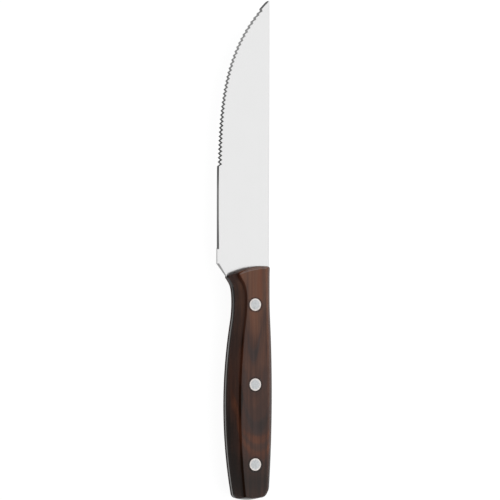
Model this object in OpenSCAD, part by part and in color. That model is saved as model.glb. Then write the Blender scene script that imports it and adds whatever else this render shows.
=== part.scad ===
// Steak knife: one steel blank with a full tang, two bevelled hardwood scales and three two-piece rivets.
// Built round the rivet line: x runs from the tip (minus) to the butt (plus) with 0 at the front of the grip,
// y runs from the cutting edge (minus) to the spine (plus), z is 0 in the middle of the steel.
// The finished part lies on its right scale, with the middle of its outline over the origin.

/* [Blade] */
// Length of the blade from the front of the grip to the tip
blade_l = 125.4; // [105:0.1:150]
// Thickness of the steel blank
steel_t = 1.5; // [1.2:0.1:2.5]
// Height of the spine above the rivet line, at the grip
spine_h = 9.8; // [8.5:0.1:12]
// Rise of the spine from the grip to the tip
tip_rise = 0.5; // [0:0.1:2]
// Depth of the plain edge below the rivet line
edge_drop = 16.5; // [13:0.1:20]
// Distance from the grip at which the edge starts to sweep up
sweep_start = 10; // [5:1:30]
// Power of the sweep: a higher one keeps the belly straight for longer
sweep_power = 4.65; // [3:0.05:6]
// Height of the small blunt end at the tip
tip_w = 0.3; // [0.2:0.1:1.5]
// Rounding of the edge into the blunt end
tip_r = 0.9; // [0.3:0.1:1.5]
// Distance of the heel corner from the front of the grip
heel_gap = 1.3; // [0.5:0.1:4]
// Angle of the heel cut to the length of the knife
heel_angle = 38.3; // [30:0.1:50]

/* [Ground edge] */
// Thickness of the steel just behind the ground edge
edge_t = 0.6; // [0.4:0.05:1]
// Width of the ground bevel, square to the edge
bevel_w = 0.88; // [0.4:0.02:1.5]
// How far the back of the bevel follows the teeth, as a share of their depth
bevel_follow = 1.15; // [1:0.05:1.5]
// Flat that is left along the very edge
edge_land = 0.05; // [0.02:0.01:0.2]
// Length beside the heel that stays unground, from the front of the grip
ricasso_l = 8; // [4:0.5:15]
// Length over which the ground edge runs out at the ricasso
run_out = 0.8; // [0.4:0.1:2]
// Length over which the side taper fades in, from the front of the grip
taper_fade = 26; // [20:1:40]

/* [Teeth] */
// Distance from the front of the grip to the first tooth
teeth_from = 47; // [42:0.5:70]
// Length of plain edge between the last tooth and the tip
tip_plain = 3.5; // [2:0.5:15]
// Pitch of the teeth along the knife
tooth_pitch = 2.01; // [1:0.01:4]
// Depth of the notches between the teeth, where they start
tooth_depth = 1.2; // [0.3:0.05:1.5]
// Depth of the notches close to the tip
tip_tooth_depth = 0.7; // [0.2:0.05:1.5]
// Setback of the first tooth points behind the plain edge
tooth_set = 0.2; // [0:0.05:0.5]

/* [Grip] */
// Length of the grip
grip_l = 110.2; // [100:0.1:130]
// Thickness of the grip over both scales
grip_t = 15.1; // [12:0.1:20]
// Height of the upright side walls above the middle of the steel
wall_h = 2.3; // [1.5:0.1:4]
// Width of the long bevel and its rounded ridge on the edge side, where the grip is widest
bevel_run = 5.15; // [3.5:0.05:6]
// Width of the long bevel and its rounded ridge on the spine side, where the grip is widest
spine_bevel_run = 4.5; // [3.5:0.05:6]
// Share of the grip's narrowing that the bevels take up, in front of its widest place
bevel_narrow = 0.22; // [0:0.02:0.4]
// Share of the grip's narrowing that the bevels take up, behind its widest place
butt_bevel_narrow = 0.36; // [0:0.02:0.4]
// Share of its width that the edge side's bevel loses at the front of the grip
front_bevel_loss = 0.26; // [0:0.02:0.4]
// Length over which that bevel reaches its full width, from the front of the grip
front_bevel_l = 14; // [8:1:40]
// Rounding of the ridge between bevel and flat
ridge_r = 3; // [0.5:0.1:4]
// Angle at which the rounded ridge meets the flat
ridge_angle = 14; // [0:1:25]
// Position of the hollow behind the heel, along the grip
neck_x = 16.5; // [12:0.5:22]
// Depth of the hollow below the rivet line
neck_drop = 8.1; // [6.5:0.05:9.5]
// Position of the belly on the edge side, along the grip
belly_x = 66; // [60:0.5:80]
// Depth of the belly below the rivet line
belly_drop = 12.25; // [10.5:0.05:15]
// Position at which the neck turns into the belly
belly_turn_x = 27; // [25:0.5:45]
// Rounding between the heel cut and the neck
heel_blend = 0.7; // [0.2:0.05:1]
// Position of the slight dip on the spine side, along the grip
dip_x = 15; // [8:0.5:17]
// Height of the dip above the rivet line
dip_h = 9.55; // [8:0.05:10]
// Power of the drop from the blade's spine to the dip: a higher one drops sooner
dip_power = 8; // [2:1:12]
// Position of the swell on the spine side, along the grip
swell_x = 60; // [50:0.5:70]
// Height of the swell above the rivet line
swell_h = 10.7; // [10.1:0.1:13]
// Position at which the dip turns into the swell
swell_turn_x = 25; // [18:0.5:40]

/* [Grip ends] */
// Radius of the curved front of the scales
front_r = 36; // [30:0.5:60]
// Height of the foremost point of the scales above the rivet line
front_apex = 6.3; // [0:0.1:8]
// Rounding of the front edge of the scales
front_edge_r = 1.6; // [0.5:0.1:3]
// Rounding of the front corners in outline
front_corner_r = 1.3; // [0.3:0.1:2]
// Radius of the domed butt
butt_r = 24; // [18:0.5:60]
// Height of the rearmost point of the butt above the rivet line
butt_apex = -0.9; // [-2:0.1:2]
// Rounding of the butt corner on the edge side, in outline
butt_edge_corner_r = 1.4; // [1:0.1:5]
// Rounding of the butt corner on the spine side, in outline
butt_spine_corner_r = 3.5; // [1:0.1:5]
// Rounding of the butt edge of the scales
butt_edge_r = 0.7; // [0.3:0.1:2]

/* [Rivets] */
// Distance of the front rivet from the front of the grip
rivet_x = 18.1; // [15:0.1:25]
// Spacing of the rivets
rivet_pitch = 37.6; // [30:0.1:40]
// Diameter of the rivet heads
head_d = 6; // [5:0.1:8]
// Thickness of the rivet heads
head_t = 1.4; // [0.8:0.1:2.5]
// Rounding of the head's rim
head_rim_r = 0.25; // [0.1:0.05:0.5]
// Outer diameter of the hollow half
sleeve_d = 4; // [3.5:0.1:4.8]
// Diameter of the solid half
pin_d = 2.6; // [2:0.1:3]
// Length left free at the ends of the two halves
pin_play = 0.5; // [0.2:0.1:1.5]
// Difference in diameter between a bore and what sits in it
fit_gap = 0.05; // [0.02:0.01:0.2]

/* [Hidden] */

$fn = 64;
steel_half = steel_t / 2;
grip_half = grip_t / 2;
edge_half = edge_t / 2;
front_rivet = 0;
middle_rivet = 1;
rear_rivet = 2;
EDGE_SIDE = -1;
SPINE_SIDE = 1;
// Room beyond a face for what cuts through it
cut_margin = 1;
// Longest facet along the plain edge, and where the edge curves
plain_step = 3;
fine_step = plain_step / 2;
// Longest facet along the grip
grip_step = 4;
// Facets of a rounded corner or rim
round_steps = 6;
// Points on the rounded ridge of a scale
ridge_steps = 4;
// Facets across the flat of a scale, and across the butt of the tang
flat_steps = 4;
butt_steps = 2 * flat_steps;
// Rounds in which the side points settle on the curved ends of the grip
settle_steps = 12;
// Most of the blade's height that the ground bevel takes, close to the tip
bevel_share = 0.6;

// Shared curves
function mix(a, b, f) = a + (b - a) * f;
function smooth_step(f) = let (c = min(1, max(0, f))) c * c * (3 - 2 * c);
function smooth_max(a, b, r) = (a + b + sqrt(pow(a - b, 2) + 4 * r * r)) / 2;
function reversed(list) = [for (i = [len(list) - 1:-1:0]) list[i]];

// Inset of a rounded corner of radius r at a distance d from its end
function corner_inset(r, d) = d >= r ? 0 : r - sqrt(r * r - pow(r - d, 2));

// Hollow at [x0, h0] and swell at [x1, h1]: two arcs that touch at x_turn
function hollow_and_swell(x, x0, h0, x1, h1, x_turn) =
    let (
        both_r = (pow(x1 - x0, 2) + pow(h1 - h0, 2)) / (2 * (h1 - h0)),
        hollow_r = both_r * (x_turn - x0) / (x1 - x0),
        swell_r = both_r - hollow_r
    )
    x < x_turn
        ? h0 + hollow_r - sqrt(hollow_r * hollow_r - pow(x - x0, 2))
        : h1 - swell_r + sqrt(swell_r * swell_r - pow(x - x1, 2));

// Outline of the blade, over the distance d from the front of the grip towards the tip
function spine_y(d) = spine_h + tip_rise * d / blade_l;
function sweep(d) = pow(max(0, d - sweep_start) / (blade_l - sweep_start), sweep_power);
edge_lift = spine_y(blade_l) - tip_w - tip_r + edge_drop;
function edge_y(d) = edge_lift * sweep(d) - edge_drop + corner_inset(tip_r, blade_l - d);
function edge_slope(d) =
    edge_lift * sweep_power / (blade_l - sweep_start) * pow(sweep(d), 1 - 1 / sweep_power);

// Outline of the grip, over x
function heel_y(x) = edge_y(heel_gap) + tan(heel_angle) * (x + heel_gap);
function neck_y(x) = -hollow_and_swell(x, neck_x, neck_drop, belly_x, belly_drop, belly_turn_x);
function grip_edge_y(x) = -smooth_max(-heel_y(x), -neck_y(max(0, x)), heel_blend);
function grip_spine_y(x) =
    x < dip_x
        ? dip_h + (spine_h - dip_h) * pow((dip_x - x) / dip_x, dip_power)
        : hollow_and_swell(x, dip_x, dip_h, swell_x, swell_h, swell_turn_x);
function grip_side_y(side, x) = side == EDGE_SIDE ? grip_edge_y(x) : grip_spine_y(x);

// Stations of the grip: s runs from 0 on the curved front to 1 on the domed butt
function front_x(y) = front_r - sqrt(front_r * front_r - pow(y - front_apex, 2));
function butt_x(y, z) = grip_l - butt_r + sqrt(butt_r * butt_r - pow(y - butt_apex, 2) - z * z);
function station_x(s, y, z) = mix(front_x(y), butt_x(y, z), s);
function settled_y(side, s, inset, y, n) =
    n == 0 ? y : settled_y(side, s, inset, grip_side_y(side, station_x(s, y, 0)) - side * inset, n - 1);
function side_y(side, s, inset) = settled_y(side, s, inset, 0, settle_steps);
function front_inset(s) = corner_inset(front_corner_r, s * grip_l);
function butt_corner_r(side) = side == EDGE_SIDE ? butt_edge_corner_r : butt_spine_corner_r;
function butt_inset(side, s) = corner_inset(butt_corner_r(side), (1 - s) * grip_l);
function scale_side_y(side, s) = side_y(side, s, max(front_inset(s), butt_inset(side, s)));
function end_drop(s) =
    max(corner_inset(front_edge_r, s * grip_l), corner_inset(butt_edge_r, (1 - s) * grip_l));

front_zone = max(front_edge_r, front_corner_r);
butt_zone = max(butt_edge_r, butt_edge_corner_r, butt_spine_corner_r);
grip_steps = ceil((grip_l - front_zone - butt_zone) / grip_step);
round_parts = [for (i = [0:round_steps]) 1 - cos(90 * i / round_steps)];
stations = concat(
    [for (part = round_parts) part * front_zone / grip_l],
    [for (i = [1:grip_steps - 1]) mix(front_zone, grip_l - butt_zone, i / grip_steps) / grip_l],
    [for (i = [round_steps:-1:0]) 1 - round_parts[i] * butt_zone / grip_l]
);

// Half section of a scale over a bevel and ridge of the given width, as [distance from the side, height]:
// the top of the wall, then the ridge up to the flat, with the bevel as the tangent between them
function half_section(width) =
    let (
        run = max(ridge_r, width),
        middle = [run + ridge_r * sin(ridge_angle), grip_half - ridge_r * cos(ridge_angle)],
        from_wall = middle - [0, wall_h],
        slope = atan2(from_wall[1], from_wall[0]) + asin(ridge_r / norm(from_wall))
    )
    concat(
        [[0, wall_h]],
        [
            for (i = [0:ridge_steps - 1])
                let (a = mix(slope, ridge_angle, i / (ridge_steps - 1)))
                middle + ridge_r * [-sin(a), cos(a)]
        ]
    );

// Width of a bevel at x, from its greatest width and from how far its side stands in from the widest place
function bevel_width(x, greatest, widest_x, stand_in) =
    greatest - (x < widest_x ? bevel_narrow : butt_bevel_narrow) * stand_in;
function front_share(x) = 1 - front_bevel_loss * smooth_step(1 - x / front_bevel_l);

// Section points of a scale across the station at x, as [y, height]
function scale_section(x, edge, spine) =
    let (
        low = half_section(bevel_width(x, bevel_run, belly_x, belly_drop + edge) * front_share(x)),
        high = half_section(bevel_width(x, spine_bevel_run, swell_x, swell_h - spine)),
        low_flat = edge + low[ridge_steps][0],
        high_flat = spine - high[ridge_steps][0]
    )
    concat(
        [for (p = low) [edge + p[0], p[1]]],
        [for (i = [1:flat_steps - 1]) [mix(low_flat, high_flat, i / flat_steps), grip_half]],
        [for (p = reversed(high)) [spine - p[0], p[1]]]
    );

// Ring of a scale: over the top from edge to spine, then back along the face on the steel
function scale_ring(s) =
    let (
        section = scale_section(s * grip_l, scale_side_y(EDGE_SIDE, s), scale_side_y(SPINE_SIDE, s)),
        top = grip_half - end_drop(s),
        upper = [for (p = section) [p[0], min(p[1], top)]],
        lower = [for (p = reversed(section)) [p[0], steel_half]]
    )
    [for (p = concat(upper, lower)) [station_x(s, p[0], p[1]), p[0], p[1]]];

// Outline of the tang behind the heel, flush with the scales all round
function side_points(side) = [
    for (s = stations)
        let (y = side_y(side, s, butt_inset(side, s)))
        [station_x(s, y, 0), y]
];
edge_points = side_points(EDGE_SIDE);
spine_points = side_points(SPINE_SIDE);
butt_low = edge_points[len(edge_points) - 1][1];
butt_high = spine_points[len(spine_points) - 1][1];
butt_points = [
    for (i = [1:butt_steps - 1])
        let (y = mix(butt_low, butt_high, i / butt_steps))
        [butt_x(y, 0), y]
];
tang_outline = concat(
    [[-heel_gap, edge_y(heel_gap)]],
    edge_points,
    butt_points,
    reversed(spine_points),
    [[0, spine_h], [-heel_gap, spine_y(heel_gap)]]
);

// Stations of the blade as [distance from the grip, edge setback], from the tip to the heel
tooth_count = floor((blade_l - tip_plain - teeth_from) / tooth_pitch);
teeth_to = teeth_from + tooth_count * tooth_pitch;
ground_from = ricasso_l + run_out;
tip_from = blade_l - tip_r;
tip_steps = ceil((tip_from - teeth_to) / fine_step);
plain_steps = ceil((teeth_from - ground_from) / plain_step);
ricasso_steps = ceil((ricasso_l - heel_gap) / fine_step);
function notch_depth(i) = mix(tooth_depth, tip_tooth_depth, i / (2 * tooth_count));
function point_set(i) = tooth_set + (tooth_depth - notch_depth(i)) / 2;
function tooth_setback(i) =
    i == 0 || i == 2 * tooth_count ? 0 : point_set(i) + (i % 2) * notch_depth(i);
blade_stations = concat(
    [for (i = [0:round_steps - 1]) [blade_l - tip_r * round_parts[i], 0]],
    [for (i = [0:tip_steps - 1]) [mix(tip_from, teeth_to, i / tip_steps), 0]],
    [for (i = [2 * tooth_count:-1:0]) [teeth_from + i * tooth_pitch / 2, tooth_setback(i)]],
    [for (i = [1:plain_steps]) [mix(teeth_from, ground_from, i / plain_steps), 0]],
    [for (i = [0:ricasso_steps]) [mix(ricasso_l, heel_gap, i / ricasso_steps), 0]]
);

// Half thickness of the blade at a height y: the taper thins towards the edge and towards the tip
full_width = spine_h + edge_drop;
function spine_half(d) = mix(edge_half, steel_half, (spine_y(d) - edge_y(d)) / full_width);
function behind_edge_half(d) =
    mix(steel_half, edge_half, smooth_step((d - heel_gap) / (taper_fade - heel_gap)));
function face_half(d, y) =
    let (part = (y - edge_y(d)) / (spine_y(d) - edge_y(d)))
    d <= heel_gap ? steel_half : mix(behind_edge_half(d), spine_half(d), max(0, part));

// Ring of the blade: edge, shoulder of the bevel and spine on the left face, then back on the right face
function blade_ring(station) =
    let (
        d = station[0],
        edge = edge_y(d) + station[1],
        spine = spine_y(d),
        bevel_back = edge_y(d) + bevel_follow * station[1] + bevel_w * norm([1, edge_slope(d)]),
        shoulder = min(bevel_back, mix(edge, spine, bevel_share)),
        edge_z = d > ricasso_l ? edge_land / 2 : face_half(d, edge),
        shoulder_z = face_half(d, shoulder),
        spine_z = face_half(d, spine)
    )
    [
        [-d, edge, edge_z],
        [-d, shoulder, shoulder_z],
        [-d, spine, spine_z],
        [-d, spine, -spine_z],
        [-d, shoulder, -shoulder_z],
        [-d, edge, -edge_z],
    ];

// Solid through rings of equal length, each closed by a strip between its upper and lower row
module skin(rings) {
    n = len(rings[0]);
    end = (len(rings) - 1) * n;
    sides = [
        for (i = [0:len(rings) - 2], j = [0:n - 1])
            let (a = i * n + j, b = i * n + (j + 1) % n)
            each [[a, b, b + n], [a, b + n, a + n]]
    ];
    caps = [
        for (j = [0:n / 2 - 2])
            let (a = j, b = j + 1, c = n - 2 - j, d = n - 1 - j)
            each [[d, c, b], [d, b, a], [end + a, end + b, end + c], [end + a, end + c, end + d]]
    ];
    polyhedron([for (ring = rings) each ring], concat(sides, caps));
}

// Moves the knife from the rivet line to its place on the table
outline_top = max(swell_h, spine_h, spine_y(blade_l));
outline_bottom = -max(edge_drop, belly_drop);
module placed() {
    translate([(blade_l - grip_l) / 2, -(outline_top + outline_bottom) / 2, grip_half]) children();
}

module at_rivet(i) {
    translate([rivet_x + i * rivet_pitch, 0, 0]) children();
}

// Bores through the steel or a scale for the three sleeves
module rivet_bores(from, to) {
    for (i = [front_rivet:rear_rivet]) {
        at_rivet(i) translate([0, 0, from]) cylinder(d = sleeve_d + fit_gap, h = to - from);
    }
}

// Seats for the three heads, sunk into the flat of a scale
module head_seats() {
    for (i = [front_rivet:rear_rivet]) {
        at_rivet(i)
            translate([0, 0, grip_half - head_t])
                cylinder(d = head_d + fit_gap, h = head_t + cut_margin);
    }
}

// Flush head with a rounded rim, its top on the flat of the scale
module rivet_head() {
    rim = [
        for (i = [0:round_steps])
            let (a = 90 * i / round_steps)
            [head_d / 2 - head_rim_r * (1 - cos(a)), grip_half - head_rim_r * (1 - sin(a))]
    ];
    base = [[0, grip_half - head_t], [head_d / 2, grip_half - head_t]];
    rotate_extrude() polygon(concat(base, rim, [[0, grip_half]]));
}

module blade() {
    color("gainsboro")
        placed()
            difference() {
                union() {
                    skin([for (station = blade_stations) blade_ring(station)]);
                    translate([0, 0, -steel_half]) linear_extrude(steel_t) polygon(tang_outline);
                }
                rivet_bores(-steel_half - cut_margin, steel_half + cut_margin);
            }
}

module scale_body() {
    difference() {
        skin([for (s = stations) scale_ring(s)]);
        rivet_bores(0, grip_half + cut_margin);
        head_seats();
    }
}

module left_scale() {
    color("saddlebrown") placed() scale_body();
}

module right_scale() {
    color("sienna") placed() mirror([0, 0, 1]) scale_body();
}

// Solid half of a rivet, with its head in the left scale
module rivet_pin(i) {
    foot = -grip_half + head_t + pin_play;
    color("silver")
        placed()
            at_rivet(i) {
                rivet_head();
                translate([0, 0, foot]) cylinder(d = pin_d, h = grip_half - head_t - foot);
            }
}

// Hollow half of a rivet, with its head in the right scale
module rivet_sleeve(i) {
    seat = -grip_half + head_t;
    end = grip_half - head_t - pin_play;
    color("lightgray")
        placed()
            at_rivet(i)
                difference() {
                    union() {
                        mirror([0, 0, 1]) rivet_head();
                        translate([0, 0, seat]) cylinder(d = sleeve_d, h = end - seat);
                    }
                    translate([0, 0, seat]) cylinder(d = pin_d + fit_gap, h = end - seat + cut_margin);
                }
}

blade();
left_scale();
right_scale();
rivet_pin(front_rivet);  // front_rivet_pin
rivet_sleeve(front_rivet);  // front_rivet_sleeve
rivet_pin(middle_rivet);  // middle_rivet_pin
rivet_sleeve(middle_rivet);  // middle_rivet_sleeve
rivet_pin(rear_rivet);  // rear_rivet_pin
rivet_sleeve(rear_rivet);  // rear_rivet_sleeve
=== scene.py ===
"""Steak knife: a toothed satin blade with a full tang, two stained wood scales and three flush rivets.

Lengths are in metres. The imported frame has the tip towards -X, the cutting edge towards -Y and the left
scale towards +Z. Formulas run in the knife's own axes: x from the front of the grip towards the butt,
y from the rivet line towards the spine and z from the middle of the steel towards the left scale.
"""

import logging
import math
from collections.abc import Mapping
from dataclasses import dataclass, replace
from enum import Enum

import bmesh
import bpy
import numpy as np
from mathutils import Matrix, Vector


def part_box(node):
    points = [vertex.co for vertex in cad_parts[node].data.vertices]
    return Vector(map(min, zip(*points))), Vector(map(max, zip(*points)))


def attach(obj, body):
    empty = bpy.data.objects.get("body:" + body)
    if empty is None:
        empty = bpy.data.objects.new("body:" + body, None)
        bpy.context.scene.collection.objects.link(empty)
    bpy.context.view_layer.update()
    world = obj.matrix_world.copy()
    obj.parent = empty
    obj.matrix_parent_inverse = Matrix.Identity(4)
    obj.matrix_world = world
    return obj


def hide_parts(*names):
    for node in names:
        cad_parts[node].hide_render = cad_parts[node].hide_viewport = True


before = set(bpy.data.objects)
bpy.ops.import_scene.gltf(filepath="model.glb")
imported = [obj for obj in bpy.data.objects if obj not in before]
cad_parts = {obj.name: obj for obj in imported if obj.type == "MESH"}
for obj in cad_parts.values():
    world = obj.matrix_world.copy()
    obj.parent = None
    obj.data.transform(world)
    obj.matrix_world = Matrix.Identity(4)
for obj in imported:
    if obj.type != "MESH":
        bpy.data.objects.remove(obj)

LOG = logging.getLogger("steak_knife")
MM = 0.001
BODY = "root"
# Point attribute of the scales that holds painted shade, and painted sheen where it is below 0.
PAINTED_SHADE_SHEEN = "stain"
# Middle of a noise, and the range that holds most of it.
NOISE_MIDDLE = 0.5
NOISE_SPAN = (0.3, 0.7)
Numbers = float | np.ndarray
Colour = tuple[float, float, float]
Triple = tuple[float, float, float]
Stops = tuple[tuple[float, float], ...]
Profile = list[tuple[float, float]]
Finish = bpy.types.Material
Socket = bpy.types.NodeSocket


class Face(Enum):
    """Faces of the knife, with the side of the steel on which each lies."""

    LEFT = 1
    RIGHT = -1


class Flank(Enum):
    """Long sides of the grip, with the direction in which each lies."""

    EDGE = -1
    SPINE = 1


class RivetHalf(Enum):
    """Halves of a two-piece rivet, with the ending of their node names."""

    PIN = "pin"
    SLEEVE = "sleeve"


class ScalePart(Enum):
    """Parts of a scale that have a finish each, with their names in its recipe."""

    FLAT = "Flat"
    END = "End"
    RIDGE = "Ridge"
    BEVEL = "Bevel"
    WALL = "Wall"


def mix(low: Numbers, high: Numbers, share: Numbers) -> Numbers:
    """Value at a share of the way from low to high."""
    return low + (high - low) * share


def smooth_step(share: Numbers) -> Numbers:
    """Share from 0 to 1 with a soft start and end."""
    held = np.clip(share, 0, 1)
    return held * held * (3 - 2 * held)


def smooth_max(first: Numbers, second: Numbers, blend: Numbers) -> Numbers:
    """Larger of two values, with the kink between them rounded by blend."""
    return (first + second + np.sqrt((first - second) ** 2 + 4 * blend**2)) / 2


def corner_inset(radius: float, distance: Numbers) -> Numbers:
    """Inset of a corner of that radius, at a distance from its end."""
    inside = np.clip(radius - distance, 0, radius)
    return radius - np.sqrt(radius**2 - inside**2)


def arc_shares(steps: int) -> np.ndarray:
    """Shares of a radius at equal turns through a quarter circle, from 0 to 1."""
    return 1 - np.cos(np.linspace(0, math.pi / 2, steps + 1))


class Graph:
    """Adds nodes to one node tree and links them."""

    def __init__(self, tree: bpy.types.NodeTree) -> None:
        """Takes the tree that the nodes go into."""
        self.tree = tree

    def feed(self, socket: Socket, value: object) -> None:
        """Links a socket to another one, or sets its constant."""
        if isinstance(value, Socket):
            self.tree.links.new(value, socket)
        else:
            socket.default_value = value

    def node(self, kind: str, inputs: Mapping[str | int, object], **settings: object) -> bpy.types.Node:
        """Adds a node.

        Args:
            kind: Blender's name of the node type.
            inputs: constants or sockets for its inputs, by name or number.
            settings: properties of the node itself.

        Returns:
            The new node.
        """
        node = self.tree.nodes.new(kind)
        for name, value in settings.items():
            setattr(node, name, value)
        for key, value in inputs.items():
            self.feed(node.inputs[key], value)
        return node

    def add(self, kind: str, inputs: Mapping[str | int, object], **settings: object) -> Socket:
        """Adds a node, and returns its first result."""
        return self.node(kind, inputs, **settings).outputs[0]

    def math(self, operation: str, *values: object) -> Socket:
        """Result of a Math node on one to three values."""
        return self.add("ShaderNodeMath", dict(enumerate(values)), operation=operation)

    def vector(self, operation: str, first: object, second: object) -> Socket:
        """Result of a Vector Math node on two vectors."""
        return self.add("ShaderNodeVectorMath", {0: first, 1: second}, operation=operation)

    def axes(self, vector: object) -> tuple[Socket, Socket, Socket]:
        """The x, y and z of a vector."""
        return tuple(self.node("ShaderNodeSeparateXYZ", {"Vector": vector}).outputs)

    def joined(self, x: object = 0.0, y: object = 0.0, z: object = 0.0) -> Socket:
        """Vector of an x, y and z."""
        return self.add("ShaderNodeCombineXYZ", {"X": x, "Y": y, "Z": z})

    def weighed(self, first: object, second: object, share: float) -> Socket:
        """Sum of two values, the first by a share and the second by the rest."""
        return self.math("MULTIPLY_ADD", first, share, self.math("MULTIPLY", second, 1 - share))

    def blend(self, share: object, first: object, second: object, how: str = "MIX") -> Socket:
        """Colour between two colours, by a share and a way of mixing."""
        # A Mix node takes colours at its inputs 6 and 7, and gives one at its output 2.
        inputs = {0: share, 6: first, 7: second}
        return self.node("ShaderNodeMix", inputs, data_type="RGBA", blend_type=how).outputs[2]

    def tinted(self, colour: object, tint: object) -> Socket:
        """Colour times a tint."""
        return self.blend(1.0, colour, tint, "MULTIPLY")

    def ramp(self, share: object, low: float, high: float, start: object = 0.0, end: object = 1.0) -> Socket:
        """Value that runs from start to end, smoothly, as share runs from low to high."""
        inputs = {"Value": share, "From Min": low, "From Max": high, "To Min": start, "To Max": end}
        return self.add("ShaderNodeMapRange", inputs, interpolation_type="SMOOTHSTEP")

    def curve(self, value: object, stops: Stops) -> Socket:
        """Result that runs through stops, each a value and its result, level beyond the ends."""
        low, high = stops[0][0], stops[-1][0]
        share = self.math("DIVIDE", self.math("SUBTRACT", value, low), high - low)
        node = self.node("ShaderNodeValToRGB", {0: share})
        node.color_ramp.interpolation = "EASE"
        points = node.color_ramp.elements
        inner = [points.new((at - low) / (high - low)) for at, _ in stops[1:-1]]
        for point, (_, result) in zip((points[0], *inner, points[-1]), stops):
            point.color = (result, result, result, 1)
        return node.outputs[0]

    def noise(
        self,
        place: object,
        sizes: Triple,
        detail: float = 2.0,
        roughness: float = 0.5,
        shift: Triple = (0, 0, 0),
    ) -> Socket:
        """Noise with grains of given sizes.

        Args:
            place: place on the piece.
            sizes: length of a grain along x, y and z.
            detail: number of finer layers.
            roughness: strength of each finer layer.
            shift: number of grains by which the noise is moved along x, y and z.

        Returns:
            The noise, from 0 to 1.
        """
        spaced = {"Vector": place, "Scale": [1 / size for size in sizes], "Location": list(shift)}
        grains = self.add("ShaderNodeMapping", spaced)
        inputs = {"Vector": grains, "Scale": 1.0, "Detail": detail, "Roughness": roughness}
        return self.add("ShaderNodeTexNoise", inputs)

    def swing(self, noise: object) -> Socket:
        """Noise as a swing to both sides of 0."""
        return self.math("SUBTRACT", noise, NOISE_MIDDLE)

    def bent(self, place: object, noise: object, reach: float) -> Socket:
        """Place moved across the grain by a noise, at most by reach."""
        aside = self.math("MULTIPLY", self.swing(noise), 2 * reach)
        return self.vector("ADD", place, self.joined(y=aside))


class Coat:
    """Material in the making, with its graph, its surface shader and the place on the piece."""

    def __init__(self, name: str) -> None:
        """Starts a material of that name."""
        self.material = bpy.data.materials.new(name)
        self.material.use_nodes = True
        self.graph = Graph(self.material.node_tree)
        self.surface = self.material.node_tree.nodes["Principled BSDF"]
        self.place = self.graph.node("ShaderNodeTexCoord", {}).outputs["Object"]

    def finish(self, height: Socket, depth: float, looks: Mapping[str, object]) -> Finish:
        """Feeds the surface shader.

        Args:
            height: noise that gives the surface its fine relief.
            depth: depth of the relief.
            looks: constants or sockets for the shader's other inputs, by name.

        Returns:
            The material.
        """
        relief = {"Height": height, "Strength": 1.0, "Distance": depth}
        normal = self.graph.add("ShaderNodeBump", relief)
        for name, value in {**looks, "Normal": normal}.items():
            self.graph.feed(self.surface.inputs[name], value)
        return self.material


class Recipe:
    """Geometry tree with named inputs, which shapes a piece and leaves a plain mesh."""

    def __init__(self, name: str) -> None:
        """Starts an empty tree of that name."""
        self.tree = bpy.data.node_groups.new(name, "GeometryNodeTree")
        self.graph = Graph(self.tree)
        self.tree.interface.new_socket("Geometry", in_out="INPUT", socket_type="NodeSocketGeometry")
        self.tree.interface.new_socket("Geometry", in_out="OUTPUT", socket_type="NodeSocketGeometry")
        self.entry = self.tree.nodes.new("NodeGroupInput")

    def ask(self, name: str, kind: str) -> Socket:
        """Adds an input of a kind such as Float or Object, and returns its socket."""
        self.tree.interface.new_socket(name, in_out="INPUT", socket_type=f"NodeSocket{kind}")
        return self.entry.outputs[name]

    def start(self) -> Socket:
        """Geometry that the piece brings along."""
        return self.entry.outputs["Geometry"]

    def named(self, name: str, kind: str) -> Socket:
        """Attribute of the piece, by its name and type."""
        return self.graph.add("GeometryNodeInputNamedAttribute", {"Name": name}, data_type=kind)

    def at_rivets(self, name: str) -> Socket:
        """Asks for an object and for the line of rivets, and sets a copy of the object at each rivet.

        Args:
            name: name of the input that takes the object.

        Returns:
            The copies as one mesh.
        """
        add = self.graph.add
        shape, first = self.ask(name, "Object"), self.ask("First Rivet", "Vector")
        step = self.graph.joined(x=self.ask("Spacing", "Float"))
        line = {"Count": self.ask("Count", "Int"), "Start Location": first, "Offset": step}
        points = add("GeometryNodeMeshLine", line)
        copy = self.graph.node("GeometryNodeObjectInfo", {"Object": shape}).outputs["Geometry"]
        placed = add("GeometryNodeInstanceOnPoints", {"Points": points, "Instance": copy})
        return add("GeometryNodeRealizeInstances", {"Geometry": placed})

    def drilled(self, solid: object, cutters: object) -> Socket:
        """Solid with the cutters taken out of it."""
        inputs = {"Mesh 1": solid, "Mesh 2": cutters}
        return self.graph.add("GeometryNodeMeshBoolean", inputs, operation="DIFFERENCE", solver="EXACT")

    def finish(self, shape: Socket, finishes: list[tuple[Socket, object]]) -> None:
        """Ends the tree.

        Args:
            shape: geometry to hand on.
            finishes: materials with the faces that take each, or True for all faces.
        """
        shape = self.graph.add("GeometryNodeRealizeInstances", {"Geometry": shape})
        for material, faces in finishes:
            inputs = {"Geometry": shape, "Selection": faces, "Material": material}
            shape = self.graph.add("GeometryNodeSetMaterial", inputs)
        self.graph.feed(self.tree.nodes.new("NodeGroupOutput").inputs[0], shape)

    def shape(self, piece: bpy.types.Object, values: Mapping[str, object]) -> None:
        """Runs the tree on a piece and keeps the result as the piece's own mesh.

        Args:
            piece: object to shape.
            values: values of the tree's inputs, by name.
        """
        modifier = piece.modifiers.new(self.tree.name, "NODES")
        modifier.node_group = self.tree
        for item in self.tree.interface.items_tree:
            if item.in_out == "INPUT" and item.name in values:
                modifier[item.identifier] = values[item.name]
        settled = bpy.context.evaluated_depsgraph_get()
        mesh = bpy.data.meshes.new_from_object(piece.evaluated_get(settled), depsgraph=settled)
        piece.modifiers.clear()
        piece.data = mesh
        mesh.name = piece.name


def new_object(name: str, mesh: bpy.types.Mesh) -> bpy.types.Object:
    """Puts a mesh into the scene as an object at the origin."""
    piece = bpy.data.objects.new(name, mesh)
    bpy.context.scene.collection.objects.link(piece)
    return piece


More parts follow.
